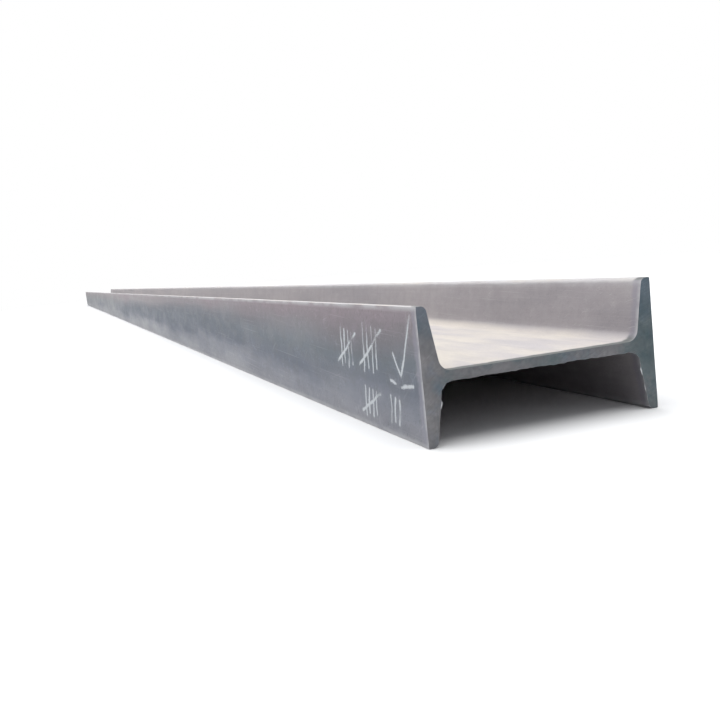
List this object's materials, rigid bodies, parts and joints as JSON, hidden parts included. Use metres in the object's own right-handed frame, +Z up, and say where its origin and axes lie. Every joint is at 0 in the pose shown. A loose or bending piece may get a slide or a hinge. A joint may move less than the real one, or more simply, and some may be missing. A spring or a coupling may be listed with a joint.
{
  "type": "steel i-beam",
  "caption": "Straight stock length of hot-rolled steel I-beam with tapered inner flange faces, filleted roots and rounded toes, lying with its web level.",
  "frame": {"origin": "centre of the beam's footprint, on the level floor that the two lower flange toes rest on", "axes": "+X across the depth of the section from flange to flange, +Y along the beam, +Z up, square to the web"},
  "size_m": [0.18, 6, 0.094],
  "materials": {
    "mill_scale_steel": "hot-rolled mill scale, matt blue-grey with light dust and sawn ends"
  },
  "bodies": {
    "root": {"i_beam": "mill_scale_steel"}
  },
  "joints": []
}
